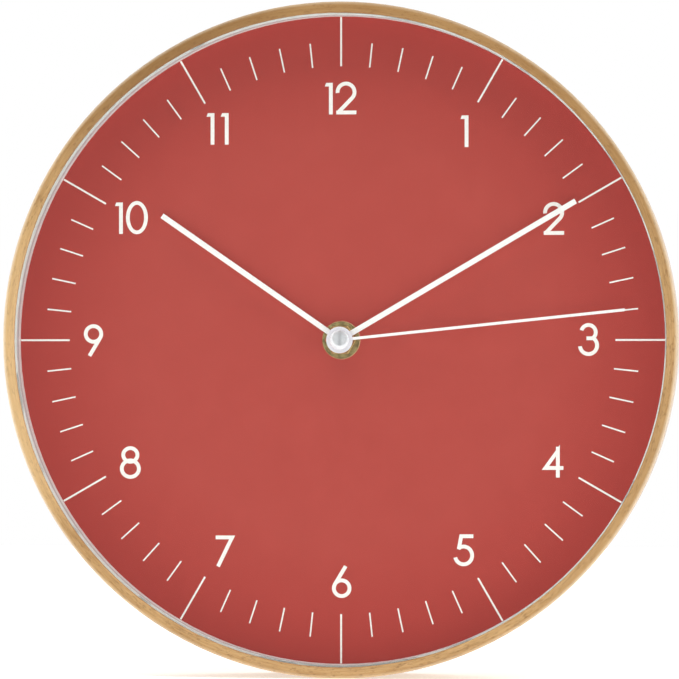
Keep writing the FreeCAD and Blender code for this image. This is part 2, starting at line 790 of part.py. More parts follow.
def build_fixings():
    """Washer, hexagonal nut and the movement's threaded bush."""
    washer = new_body("fixing_washer")
    disc(washer, "Washer", "washer_radius", "washer_front", "dial_front", "dial_hole_radius")
    dress(washer, "Chamfer", "FrontRim",
          lambda e: on_level(e, "washer_front") and near(reach(e), value("washer_radius")),
          "washer_edge")

    nut = new_body("fixing_nut")
    sketch = new_sketch(nut, "NutSketch", "nut_front")
    radius = value("nut_corner_radius")
    corners = [Vector(radius, 0, 0)]
    for i in range(1, 6):
        turn = math.radians(60 * i)
        corners.append(Vector(radius * math.cos(turn), radius * math.sin(turn), 0))
    for i in range(6):
        sketch.addGeometry(Part.LineSegment(corners[i], corners[(i + 1) % 6]), False)
    rim = sketch.addGeometry(Part.Circle(Vector(), Vector(0, 0, 1), radius), True)
    for i in range(6):
        sketch.addConstraint(Sketcher.Constraint("Coincident", i, 2, (i + 1) % 6, 1))
        sketch.addConstraint(Sketcher.Constraint("PointOnObject", i, 1, rim))
    for i in range(1, 6):
        sketch.addConstraint(Sketcher.Constraint("Equal", 0, i))
    sketch.addConstraint(Sketcher.Constraint("Coincident", rim, 3, -1, 1))
    sketch.addConstraint(Sketcher.Constraint("PointOnObject", 0, 1, -1))
    rule = sketch.addConstraint(Sketcher.Constraint("Radius", rim, radius))
    bind(sketch, f"Constraints[{rule}]", "nut_corner_radius")
    add_circle(sketch, "nut_bore_radius")
    pad(nut, "Nut", sketch, "dims.nut_thickness")
    dress(nut, "Chamfer", "FrontCorners",
          lambda e: on_level(e, "nut_front") and reach(e) > value("nut_bore_radius") + 1,
          "nut_chamfer")

    bush = new_body("threaded_bush")
    disc(bush, "Bush", "bush_radius", "bush_front", "level_zero", "bush_bore_radius")
    thread = turned(bush, "ThreadGroove", [
        ("bush_radius", "thread_start"), ("thread_root_radius", "thread_middle"),
        ("bush_radius", "thread_end"),
    ], cut=True)
    rows = bush.newObject("PartDesign::LinearPattern", "ThreadRows")
    rows.Originals = [thread]
    rows.Direction = (origin_plane(bush, "Y_Axis"), [""])
    rows.setExpression("Length", "dims.thread_pitch * (dims.thread_turns - 1)")
    rows.setExpression("Occurrences", "dims.thread_turns")
    bush.Tip = rows
    doc.recompute()


# Hands --------------------------------------------------------------------------------------

def add_blade(body, front, length, width):
    """A parallel bar from the axis, along the direction of the body's own +Z."""
    sketch = new_sketch(body, "BladeSketch", front)
    half = value(width) / 2
    reach = value(length)
    places = [Vector(-half, 0, 0), Vector(half, 0, 0), Vector(half, reach, 0), Vector(-half, reach, 0)]
    for i, place in enumerate(places):
        sketch.addGeometry(Part.LineSegment(place, places[(i + 1) % 4]), False)
    for i in range(4):
        sketch.addConstraint(Sketcher.Constraint("Coincident", i, 2, (i + 1) % 4, 1))
    for i in (0, 2):
        sketch.addConstraint(Sketcher.Constraint("Horizontal", i))
    sketch.addConstraint(Sketcher.Constraint("Vertical", 1))
    sketch.addConstraint(Sketcher.Constraint("Symmetric", 0, 1, 0, 2, -1, 1))
    for kind, line, term in (("Distance", 0, width), ("Distance", 1, length)):
        rule = sketch.addConstraint(Sketcher.Constraint(kind, line, value(term)))
        bind(sketch, f"Constraints[{rule}]", term)
    pad(body, "Blade", sketch, "dims.hand_thickness")


def new_hand(label):
    """A body turned about the hand axis to the time it shows."""
    body = new_body(label)
    body.setExpression("Placement.Rotation.Angle", f"dims.{label}_angle")
    body.Placement = Placement(Vector(), Rotation(Vector(0, 1, 0), value(f"{label}_angle")))
    return body


def build_hands():
    """Hour, minute and second hands, and the second hand's domed cap."""
    for kind in ("hour", "minute"):
        hand = new_hand(f"{kind}_hand")
        front = f"{kind}_hand_front"
        add_blade(hand, front, f"{kind}_hand_length", "hand_width")
        boss = new_sketch(hand, "BossSketch", front)
        add_circle(boss, "hand_boss_radius")
        pad(hand, "Boss", boss, "dims.hand_thickness")
        cut = new_sketch(hand, "BoreSketch", front)
        add_circle(cut, f"{kind}_tube_radius")
        pocket(hand, "Bore", cut, "dims.hand_thickness")

    second = new_hand("second_hand")
    add_blade(second, "second_hand_front", "second_hand_length", "second_hand_width")
    boss = new_sketch(second, "BossSketch", "second_hand_front")
    add_circle(boss, "second_boss_radius")
    pad(second, "Boss", boss, "dims.hand_thickness")
    disc(second, "Collar", "second_collar_radius", "second_hand_front", "second_collar_back")
    bore = new_sketch(second, "BoreSketch", "second_hand_front")
    add_circle(bore, "second_arbor_radius")
    pocket(second, "Bore", bore, span("second_hand_front", "second_collar_back"))

    build_cap()


def build_cap():
    """The domed cap: a short rim under a shallow spherical crown."""
    body = new_body("second_hand_cap")
    sketch = new_sketch(body, "DomeSketch", role="XY_Plane")
    corners = [("cap_radius", "cap_rim_front"), ("cap_radius", "second_hand_front"),
               ("0", "second_hand_front"), ("0", "cap_front")]
    places = [Vector(value(a), value(b), 0) for a, b in corners]
    for start, end in zip(places, places[1:]):
        sketch.addGeometry(Part.LineSegment(start, end), False)
    rise = value("cap_rim_front") - value("cap_front")
    crown = (value("cap_radius") ** 2 + rise ** 2) / (2 * rise)
    middle = Vector(0, value("cap_front") + crown, 0)
    turn = math.asin(value("cap_radius") / crown)
    circle = Part.Circle(middle, Vector(0, 0, 1), crown)
    arc = Part.ArcOfCircle(circle, -math.pi / 2, -math.pi / 2 + turn)
    sketch.addGeometry(arc, False)
    for i in range(2):
        sketch.addConstraint(Sketcher.Constraint("Coincident", i, 2, i + 1, 1))
    sketch.addConstraint(Sketcher.Constraint("Coincident", 2, 2, 3, 1))
    sketch.addConstraint(Sketcher.Constraint("Coincident", 0, 1, 3, 2))
    sketch.addConstraint(Sketcher.Constraint("PointOnObject", 3, 3, -2))
    for i, (across, up) in enumerate(corners[:3]):
        pin_point(sketch, i, 1, across, up)
    pin_point(sketch, 2, 2, *corners[3])
    dome = body.newObject("PartDesign::Revolution", "Dome")
    dome.Profile = sketch
    dome.ReferenceAxis = (sketch, ["V_Axis"])
    dome.Angle = 360


# Train --------------------------------------------------------------------------------------

def build_train(phases):
    """Every wheel from the rotor's pinion to the hour wheel, with tubes and arbors."""
    hour = new_body("hour_wheel")
    disc(hour, "Tube", "hour_tube_radius", "hour_hand_front", "hour_wheel_back")
    add_gear(hour, "hour_wheel", "hour_wheel_level", "hour_gear", phases["hour_wheel"])
    bore = new_sketch(hour, "BoreSketch", "hour_hand_front")
    add_circle(bore, "hour_tube_bore")
    pocket(hour, "Bore", bore, span("hour_hand_front", "hour_wheel_back"))

    centre = new_body("centre_wheel")
    disc(centre, "OuterTube", "minute_tube_radius", "minute_hand_front", "hour_wheel_back")
    disc(centre, "InnerTube", "cannon_tube_radius", "hour_wheel_back", "centre_back")
    add_gear(centre, "centre_wheel", "centre_level", "thin_gear", phases["centre_wheel"])
    add_gear(centre, "cannon_pinion", "cannon_level", "motion_gear", phases["cannon_pinion"])
    bore = new_sketch(centre, "BoreSketch", "minute_hand_front")
    add_circle(bore, "minute_tube_bore")
    pocket(centre, "Bore", bore, span("minute_hand_front", "centre_back"))

    motion = new_body("minute_wheel", "stud_x", "stud_z")
    add_gear(motion, "motion_pinion", "hour_wheel_level", "motion_hub", phases["motion_pinion"])
    add_gear(motion, "motion_wheel", "motion_level", "thin_gear", phases["motion_wheel"])
    bore = new_sketch(motion, "BoreSketch", "hour_wheel_level")
    add_circle(bore, "stud_bore_radius")
    pocket(motion, "Bore", bore, span("hour_wheel_level", "motion_back"))

    arbors = (
        ("second", "0", "0", "second_arbor_radius", "second_hand_front", "pinion_width"),
        ("third", "third_x", "third_z", "arbor_radius", "third_arbor_front", "pinion_width"),
        ("fifth", "fifth_x", "fifth_z", "arbor_radius", "upper_arbor_front", "upper_pinion_width"),
    )
    for stem, x, z, radius, front, pinion_width in arbors:
        wheel, pinion = f"{stem}_wheel", f"{stem}_pinion"
        body = new_body(wheel, x, z)
        disc(body, "Arbor", radius, front, "arbor_back")
        add_gear(body, wheel, f"{stem}_level", "thin_gear", phases[wheel])
        add_gear(body, pinion, f"{stem}_pinion_level", pinion_width, phases[pinion])

    rotor = new_body("rotor_pinion", "rotor_x", "rotor_z")
    disc(rotor, "Arbor", "arbor_radius", "upper_arbor_front", "arbor_back")
    add_gear(rotor, "rotor_pinion", "rotor_pinion_level", "upper_pinion_width",
             phases["rotor_pinion"])
    magnet = new_body("rotor_magnet", "rotor_x", "rotor_z")
    disc(magnet, "Magnet", "magnet_radius", "magnet_level", "magnet_back", "arbor_radius")


def train_phases():
    """The turn of each gear at rest, worked out pair by pair so that all are in mesh."""
    centre = ("0", "0")
    third, fifth, rotor, stud, setting = (
        (f"{name}_x", f"{name}_z") for name in ("third", "fifth", "rotor", "stud", "setting")
    )
    pairs = (
        ("rotor_pinion", rotor, "fifth_wheel", fifth),
        ("fifth_pinion", fifth, "second_wheel", centre),
        ("second_pinion", centre, "third_wheel", third),
        ("third_pinion", third, "centre_wheel", centre),
        ("cannon_pinion", centre, "motion_wheel", stud),
        ("motion_pinion", stud, "hour_wheel", centre),
        ("motion_wheel", stud, "setting_pinion", setting),
    )
    phases = {}
    for driver, start, driven, end in pairs:
        driver_phase = phases.setdefault(driver, 0.0)
        phases[driven] = meshing_phase(driver, driver_phase, driven, direction_of(start, end))
    return phases


def build_setting(phases):
    """The setting shaft with its pinion, and the knob on the back."""
    shaft = new_body("setting_shaft", "setting_x", "setting_z")
    disc(shaft, "Shaft", "setting_shaft_radius", "setting_front", "knob_front")
    add_gear(shaft, "setting_pinion", "cannon_level", "motion_gear", phases["setting_pinion"])
    knob = new_body("setting_knob", "setting_x", "setting_z")
    disc(knob, "Knob", "knob_radius", "knob_front", "knob_back")
    dress(knob, "Fillet", "KnobRound", lambda e: on_level(e, "knob_back"), "knob_round")
    groove = new_sketch(knob, "GrooveSketch", "knob_front")
    add_circle(groove, "knob_groove_radius", "knob_radius")
    cut = pocket(knob, "Groove", groove, span("knob_front", "knob_back"))
    ring_pattern(knob, "Grooves", cut, groove, "knob_grooves")


# Movement case, plates and motor --------------------------------------------------------------

def build_housing():
    """The movement's front case: train chamber above, open battery bay below."""
    body = new_body("movement_housing")
    sketch = new_sketch(body, "BlockSketch", "housing_front")
    add_box(sketch, "-housing_half", "housing_half", "-housing_half", "housing_half")
    pad(body, "Block", sketch, span("housing_front", "housing_back"))
    dress(body, "Fillet", "Corners", runs_deep, "housing_corner")

    def recess(name, bottom, top):
        area = new_sketch(body, name + "Sketch", "level_zero")
        add_box(area, "-chamber_half", "chamber_half", bottom, top)
        pocket(body, name, area, span("level_zero", "housing_back"))

    recess("Chamber", "chamber_bottom", "chamber_half")
    recess("BatteryBay", "-chamber_half", "bay_top")
    notch = new_sketch(body, "NotchSketch", "notch_front")
    add_box(notch, "-notch_half", "notch_half", "-notch_outer", "-notch_inner")
    pocket(body, "FingerNotch", notch, span("notch_front", "housing_back"))

    posts = (
        ("PlatePostA", "post_radius", "post_left", "post_high", "plate_level"),
        ("PlatePostB", "post_radius", "post_left", "post_low", "plate_level"),
        ("PlatePostC", "post_radius", "post_right", "post_high", "plate_level"),
        ("BoardPostA", "post_radius", "circuit_post_x", "circuit_post_low", "circuit_level"),
        ("BoardPostB", "post_radius", "circuit_post_x", "circuit_post_high", "circuit_level"),
        ("MinuteStud", "stud_radius", "stud_x", "stud_z", "stud_back"),
    )
    for name, radius, x, z, back in posts:
        post(body, name, radius, x, z, "level_zero", back)
    bore = new_sketch(body, "BushHoleSketch", "housing_front")
    add_circle(bore, "bush_radius")
    pocket(body, "BushHole", bore, "dims.front_wall")
    hole(body, "ThirdSocket", "pivot_hole_radius", "third_x", "third_z", "socket_front", "level_zero")
    hole(body, "SettingSocket", "setting_socket_radius", "setting_x", "setting_z",
         "socket_front", "level_zero")


def build_cover():
    """The rear cover over the train chamber."""
    body = new_body("movement_cover")
    sketch = new_sketch(body, "CoverSketch", "housing_back")
    add_box(sketch, "-housing_half", "housing_half", "cover_bottom", "housing_half")
    pad(body, "Cover", sketch, "dims.cover_thickness")

    def top_corner(edge):
        return runs_deep(edge) and near(edge.Vertexes[0].Point.z, value("housing_half"))

    dress(body, "Fillet", "Corners", top_corner, "housing_corner")
    dress(body, "Fillet", "BackEdge", lambda e: on_level(e, "cover_back"), "cover_round")
    hole(body, "SettingHole", "setting_hole_radius", "setting_x", "setting_z",
         "housing_back", "cover_back")


def build_plates():
    """The middle plate and the train bridge that stands on it."""
    def plate(label, front, holes):
        body = new_body(label)
        sketch = new_sketch(body, "PlateSketch", front)
        add_box(sketch, "plate_left", "plate_right", "plate_bottom", "plate_top")
        pad(body, "Plate", sketch, "dims.plate_thickness")
        for name, radius, x, z in holes:
            cut = new_sketch(body, name + "Sketch", front, x=x, z=z)
            add_circle(cut, radius)
            pocket(body, name, cut, "dims.plate_thickness")
        return body

    holes = [
        ("CentreHole", "centre_hole_radius", "0", "0"),
        ("ThirdHole", "pivot_hole_radius", "third_x", "third_z"),
        ("FifthHole", "pivot_hole_radius", "fifth_x", "fifth_z"),
        ("RotorHole", "pivot_hole_radius", "rotor_x", "rotor_z"),
    ]
    plate("middle_plate", "plate_level", holes)
    bridge = plate("train_bridge", "bridge_level", holes)
    for name, x, z in (("PostA", "post_left", "post_high"), ("PostB", "post_left", "post_low"),
                       ("PostC", "bridge_post_x", "bridge_post_z")):
        post(bridge, name, "post_radius", x, z, "plate_back", "bridge_level")


def build_motor():
    """Stator, coil core, bobbin and winding."""
    stator = new_body("stator_plate")
    sketch = new_sketch(stator, "StatorSketch", "stator_level")
    add_outline(sketch, [
        ("stator_left", "stator_bottom"), ("stator_right", "stator_bottom"),
        ("stator_right", "stator_top"), ("stator_arm_right", "stator_top"),
        ("stator_arm_right", "stator_shoulder"), ("stator_arm_left", "stator_shoulder"),
        ("stator_arm_left", "stator_top"), ("stator_left", "stator_top"),
    ])
    add_circle(sketch, "stator_hole_radius", "rotor_x", "rotor_z")
    pad(stator, "Stator", sketch, "dims.stator_thickness")

    core = new_body("coil_core")
    sketch = new_sketch(core, "CoreSketch", "core_level")
    add_box(sketch, "stator_left", "stator_right", "core_bottom", "core_top")
    pad(core, "Core", sketch, "dims.core_thickness")

    def round_along_x(body, name, radius, left, right, bore=None):
        rod_along_x(body, name, ("coil_depth", "coil_z"), radius, left, right, bore)

    bobbin = new_body("coil_bobbin")
    round_along_x(bobbin, "Barrel", "bobbin_radius", "coil_left", "coil_right")
    round_along_x(bobbin, "LeftFlange", "flange_radius", "flange_left", "coil_left")
    round_along_x(bobbin, "RightFlange", "flange_radius", "coil_right", "flange_right")
    slot = new_sketch(bobbin, "CoreSlotSketch", "core_level")
    add_box(slot, "stator_left", "stator_right", "core_bottom", "core_top")
    pocket(bobbin, "CoreSlot", slot, "dims.core_thickness")

    winding = new_body("coil_winding")
    round_along_x(winding, "Winding", "winding_radius", "coil_left", "coil_right", "bobbin_radius")


def build_circuit():
    """Circuit board, quartz crystal and timer chip."""
    board = new_body("circuit_board")
    sketch = new_sketch(board, "BoardSketch", "circuit_level")
    add_box(sketch, "circuit_left", "circuit_right", "circuit_bottom", "circuit_top")
    pad(board, "Board", sketch, "dims.circuit_thickness")

    crystal = new_body("quartz_crystal")
    area = new_sketch(crystal, "CrystalSketch", "crystal_z", role="XY_Plane")
    add_circle(area, "crystal_radius", "crystal_x", "crystal_depth")
    pad(crystal, "Crystal", area, "dims.crystal_length").Reversed = False

    chip = new_body("timer_chip", "chip_x", "chip_z")
    disc(chip, "Chip", "chip_radius", "circuit_back", "chip_back")
    dress(chip, "Fillet", "ChipRound", lambda e: on_level(e, "chip_back"), "chip_round")


def build_battery():
    """Battery can and sleeve, and the two sprung contacts at its ends."""
    def round_along_x(body, name, radius, left, right, bore=None):
        rod_along_x(body, name, ("battery_depth", "battery_z"), radius, left, right, bore)

    can = new_body("battery_can")
    round_along_x(can, "Can", "battery_can_radius", "can_left", "can_right")
    round_along_x(can, "Nub", "nub_radius", "can_right", "nub_right")
    sleeve = new_body("battery_sleeve")
    round_along_x(sleeve, "Sleeve", "battery_radius", "sleeve_left", "sleeve_right",
                  "battery_can_radius")

    for label, sign, bump in (("positive_contact", "", "positive_bump"),
                              ("negative_contact", "-", "negative_bump")):
        body = new_body(label)
        sketch = new_sketch(body, "StripSketch", "contact_front")
        add_outline(sketch, [
            (f"{sign}chamber_half", "contact_bottom"), (f"{sign}contact_inner", "contact_bottom"),
            (f"{sign}{bump}", "contact_low"), (f"{sign}{bump}", "contact_high"),
            (f"{sign}contact_inner", "contact_top"), (f"{sign}chamber_half", "contact_top"),
            (f"{sign}{bump}_back", "contact_high"), (f"{sign}{bump}_back", "contact_low"),
        ])
        pad(body, "Strip", sketch, "dims.contact_width")


# Back of the case ---------------------------------------------------------------------------

def add_solids(label, solids):
    """A part made of separate solids."""
    part = doc.addObject("Part::Feature", label)
    part.Label = label
    part.Shape = Part.makeCompound(solids)
    keep(label, part)


def inside_hoop(shape, front, back):
    """The piece of a shape that lies inside the hoop, between two levels."""
    hoop = Part.makeCylinder(value("rebate_radius"), value(back) - value(front),
                             Vector(0, value(front), 0), Vector(0, 1, 0))
    return shape.common(hoop)


def build_glue_blocks():
    """Six blocks glued in the corner between the board and the hoop."""
    width, inner = value("block_width"), value("block_inner")
    depth = value("block_depth")
    blocks = []
    for i in range(6):
        block = Part.makeBox(width, depth, value("case_radius") - inner,
                             Vector(-width / 2, value("board_back"), inner))
        block.rotate(Vector(), Vector(0, 1, 0), 30 + 60 * i)
        blocks += inside_hoop(block, "board_back", "case_back").Solids
    add_solids("glue_blocks", blocks)


def build_hanger():
    """Hanger block, keyhole plate and its two screws."""
    half, bottom = value("hanger_half"), value("hanger_bottom")
    front, back = value("board_back"), value("hanger_back")
    block = Part.makeBox(2 * half, back - front, value("case_radius") - bottom,
                         Vector(-half, front, bottom))
    block = inside_hoop(block, "board_back", "case_back")
    recess_half = value("hanger_pocket_half")
    low, high = value("hanger_pocket_bottom"), value("hanger_pocket_top")
    recess_front = value("hanger_pocket_front")
    block = block.cut(Part.makeBox(2 * recess_half, back - recess_front, high - low,
                                   Vector(-recess_half, recess_front, low)))
    screw_places = [value("hanger_screw_low"), value("hanger_screw_high")]
    for place in screw_places:
        block = block.cut(Part.makeCylinder(value("screw_radius"), value("screw_length"),
                                            Vector(0, back, place), Vector(0, -1, 0)))
    add_solids("hanger_block", block.Solids)

    plate = new_body("keyhole_hanger")
    sketch = new_sketch(plate, "PlateSketch", "hanger_back")
    add_box(sketch, "-keyhole_plate_half", "keyhole_plate_half",
            "keyhole_plate_bottom", "keyhole_plate_top")
    pad(plate, "Plate", sketch, "dims.plate_sheet")
    hole(plate, "Entry", "keyhole_radius", "0", "keyhole_z", "hanger_back", "case_back")
    slot = new_sketch(plate, "SlotSketch", "hanger_back")
    add_box(slot, "-keyhole_slot_half", "keyhole_slot_half", "keyhole_z", "keyhole_slot_top")
    pocket(plate, "Slot", slot, "dims.plate_sheet")
    hole(plate, "SlotEnd", "keyhole_slot_half", "0", "keyhole_slot_top", "hanger_back", "case_back")
    for name, place in (("LowScrewHole", "hanger_screw_low"), ("HighScrewHole", "hanger_screw_high")):
        hole(plate, name, "screw_hole_radius", "0", place, "hanger_back", "case_back")

    def on_screw_rim(edge):
        rim = edge.Vertexes[0].Point
        distances = [math.hypot(rim.x, rim.z - place) for place in screw_places]
        return on_level(edge, "case_back") and near(min(distances), value("screw_hole_radius"))

    dress(plate, "Chamfer", "Countersinks", on_screw_rim, "screw_countersink")
    add_solids("hanger_screws", [screw_shape(place) for place in screw_places])


def screw_shape(height):
    """A countersunk wood screw with a slotted head, flush with the back of the hanger plate."""
    inward = Vector(0, -1, 0)
    top = Vector(0, value("case_back"), height)
    radius, head = value("screw_radius"), value("screw_head_radius")
    shank = Part.makeCylinder(radius, value("screw_length") + value("plate_sheet"), top, inward)
    cone = Part.makeCone(head, radius, head - radius, top, inward)
    width, depth = value("screw_slot_width"), value("screw_slot_depth")
    corner = Vector(-head, value("case_back") - depth, height - width / 2)
    slot = Part.makeBox(2 * head, depth, width, corner)
    return shank.fuse(cone).cut(slot).removeSplitter()


def check_and_write():
    """Stop if any object is broken; otherwise write one STEP file for each part."""
    doc.recompute()
    for item in doc.Objects:
        if {"Invalid", "Error"} & set(item.State):
            raise RuntimeError(f"{item.Label} is broken: {item.State}")
    os.makedirs("parts", exist_ok=True)
    for label, part in made_parts:
        shape = part.Shape
        if shape.isNull() or not shape.isValid() or not shape.Solids:
            raise RuntimeError(f"{label} has no valid solid")
        shape.exportStep(f"parts/{label}.step")
        print(label, len(shape.Solids), round(shape.Volume, 3))


def build_clock():
    """Build every part of the clock and write the files."""
    fill_sheet()
    build_frame()
    build_lens()
    build_ring()
    build_dial()
    build_numerals()
    build_minute_track()
    build_fixings()
    build_hands()
    phases = train_phases()
    build_train(phases)
    build_setting(phases)
    build_housing()
    build_cover()
    build_plates()
    build_motor()
    build_circuit()
    build_battery()
    build_glue_blocks()
    build_hanger()
    check_and_write()


build_clock()
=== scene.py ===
"""A wall clock: the finish of every part, a pale studio and the camera."""

import json
import math

import bmesh
import bpy
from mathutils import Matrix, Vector


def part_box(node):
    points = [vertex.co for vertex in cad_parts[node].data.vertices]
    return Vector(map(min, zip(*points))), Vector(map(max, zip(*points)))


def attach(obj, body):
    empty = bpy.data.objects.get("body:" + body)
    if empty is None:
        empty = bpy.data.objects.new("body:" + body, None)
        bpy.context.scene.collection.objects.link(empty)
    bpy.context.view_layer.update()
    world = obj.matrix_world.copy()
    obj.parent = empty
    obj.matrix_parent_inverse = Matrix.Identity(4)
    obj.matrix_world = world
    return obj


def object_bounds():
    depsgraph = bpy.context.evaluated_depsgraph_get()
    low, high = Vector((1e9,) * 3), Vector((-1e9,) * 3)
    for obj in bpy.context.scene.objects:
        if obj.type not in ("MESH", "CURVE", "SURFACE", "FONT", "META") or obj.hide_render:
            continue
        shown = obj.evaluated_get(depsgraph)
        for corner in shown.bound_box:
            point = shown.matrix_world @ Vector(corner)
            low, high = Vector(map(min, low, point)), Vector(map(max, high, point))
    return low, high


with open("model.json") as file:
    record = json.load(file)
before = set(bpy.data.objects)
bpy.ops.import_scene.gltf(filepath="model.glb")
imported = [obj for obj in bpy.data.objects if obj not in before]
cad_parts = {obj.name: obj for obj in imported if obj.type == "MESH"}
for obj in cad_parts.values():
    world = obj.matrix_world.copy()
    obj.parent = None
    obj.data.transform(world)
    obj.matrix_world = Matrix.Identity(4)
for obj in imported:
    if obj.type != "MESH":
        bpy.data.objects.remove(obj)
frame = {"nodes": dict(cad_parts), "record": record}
cad_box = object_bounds()

# The camera
LENS_MM = 240.4
SHIFT_X, SHIFT_Y = 0.0022, 0.0006
EYE = Vector((0.18, -2.02, -0.01))

# The studio: the floor, and how bright the room is to each kind of ray
FLOOR_SIDE = 2.8
FLOOR_GLOW = 0.45
BACKDROP = 1.0
ROOM_LIGHT = 0.4
ROOM_SHEEN = 1.4
ROOM_AHEAD, ROOM_GAP = 0.85, 0.62
AHEAD = (0, -0.97, 0.24)

# The case, in metres
CASE_RADIUS = cad_box[1].x
CASE_FRONT = cad_box[0].y

# Moulded details, in metres
COLLAR_PROFILE = ((0.0039, 0.0), (0.0039, 0.0007), (0.0048, 0.0007), (0.0053, 0.0))
COLLAR_STEPS = 64
CLIP_PROFILE = ((0.0, -0.006), (0.0004, -0.0052), (0.0008, -0.004), (0.0008, 0.0004),
                (0.0005, 0.0007), (-0.0011, 0.0007), (-0.0013, 0.0004), (-0.0013, 0.00002),
                (0.0, 0.00002))
CLIP_HALF = 0.003
CLIPS = ((-1, 0.2), (-1, 0.8), (1, 0.2), (1, 0.8))
BEAD_RADIUS = 0.0013
BEAD_LIFT = 0.0002
BEAD_STEPS = 14
BLOCKS = 6


class Nodes:
    """Adds shader nodes to a tree, one at a time."""

    def __init__(self, tree):
        self.tree = tree

    def feed(self, socket, item):
        """Gives a socket a constant or a link."""
        if isinstance(item, bpy.types.NodeSocket):
            self.tree.links.new(item, socket)
        else:
            socket.default_value = item

    def add(self, kind, inputs, **settings):
        """A new node with its settings and its inputs, by name or by number."""
        node = self.tree.nodes.new("ShaderNode" + kind)
        for key, item in settings.items():
            setattr(node, key, item)
        for key, item in inputs.items():
            self.feed(node.inputs[key], item)
        return node

    def axes(self, vector):
        """A vector's three parts."""
        node = self.add("SeparateXYZ", {"Vector": vector})
        return node.outputs["X"], node.outputs["Y"], node.outputs["Z"]

    def dot(self, first, second):
        """The dot product of two vectors."""
        node = self.add("VectorMath", {0: first, 1: second}, operation="DOT_PRODUCT")
        return node.outputs["Value"]

    def maths(self, operation, first, second=0.0, third=0.0):
        """One step of arithmetic, such as ADD, MULTIPLY or COMPARE."""
        node = self.add("Math", {0: first, 1: second, 2: third}, operation=operation)
        return node.outputs["Value"]

    def span(self, item, low, high, new_low=0.0, new_high=1.0):
        """Maps low..high to new_low..new_high, and holds the ends."""
        inputs = {"Value": item, "From Min": low, "From Max": high,
                  "To Min": new_low, "To Max": new_high}
        return self.add("MapRange", inputs).outputs["Result"]

    def blend(self, factor, first, second):
        """Two numbers mixed by a factor."""
        return self.add("Mix", {0: factor, 2: first, 3: second}).outputs[0]

    def mix(self, factor, first, second):
        """Two colours mixed by a factor."""
        return self.add("Mix", {0: factor, 6: first, 7: second}, data_type="RGBA").outputs[2]


class Look(Nodes):
    """A material with a Principled shader, whose sockets are set by name."""

    def __init__(self, name, **constants):
        self.material = bpy.data.materials.new(name)
        self.material.use_nodes = True
        super().__init__(self.material.node_tree)
        self.shader = self.tree.nodes["Principled BSDF"]
        for socket, number in constants.items():
            self.set(socket.replace("_", " "), number)

    def set(self, socket, item):
        """Gives one of the shader's sockets a constant or a link."""
        self.feed(self.shader.inputs[socket], item)

    def place(self):
        """The point on the surface, in metres, in the part's own frame."""
        return self.add("TexCoord", {}).outputs["Object"]

    def vector(self, x, y, z):
        """A vector from its three parts."""
        return self.add("CombineXYZ", {"X": x, "Y": y, "Z": z}).outputs["Vector"]

    def scaled(self, vector, x, y, z):
        """A vector stretched along each axis."""
        node = self.add("VectorMath", {0: vector, 1: (x, y, z)}, operation="MULTIPLY")
        return node.outputs["Vector"]

    def noise(self, vector, scale, detail=3.0, roughness=0.55, w=None):
        """Noise at a rate per metre, with a fourth coordinate if w is given."""
        inputs = {"Vector": vector, "Scale": scale, "Detail": detail, "Roughness": roughness}
        settings = {}
        if w is not None:
            inputs["W"] = w
            settings["noise_dimensions"] = "4D"
        return self.add("TexNoise", inputs, **settings).outputs["Fac"]

    def bump(self, height, depth, under=None):
        """Relief of a depth in metres, on top of an earlier bump."""
        inputs = {"Height": height, "Distance": depth, "Strength": 1.0}
        if under is not None:
            inputs["Normal"] = under
        normal = self.add("Bump", inputs).outputs["Normal"]
        self.set("Normal", normal)
        return normal


def colour(red, green, blue):
    """An 8-bit screen colour as the linear colour that a shader takes."""
    linear = []
    for channel in (red, green, blue):
        share = channel / 255
        linear.append(share / 12.92 if share <= 0.04045 else ((share + 0.055) / 1.055) ** 2.4)
    return (*linear, 1.0)


def polar(look):
    """Distance from the hand axis, and the unit vector that points away from it."""
    x, y, z = look.axes(look.place())
    flat = look.vector(x, 0.0, z)
    radius = look.add("VectorMath", {0: flat}, operation="LENGTH").outputs["Value"]
    outward = look.add("VectorMath", {0: flat}, operation="NORMALIZE").outputs["Vector"]
    return radius, outward, y


def around(look, radius, outward, depth, turns, across):
    """Noise drawn out round the hoop: turns is its rate along it, and across its rate over it."""
    x, _, z = look.axes(outward)
    run = look.vector(look.maths("MULTIPLY", x, turns), look.maths("MULTIPLY", z, turns),
                      look.maths("MULTIPLY", radius, across))
    return look.noise(run, 1.0, 3.0, 0.6, w=look.maths("MULTIPLY", depth, across))


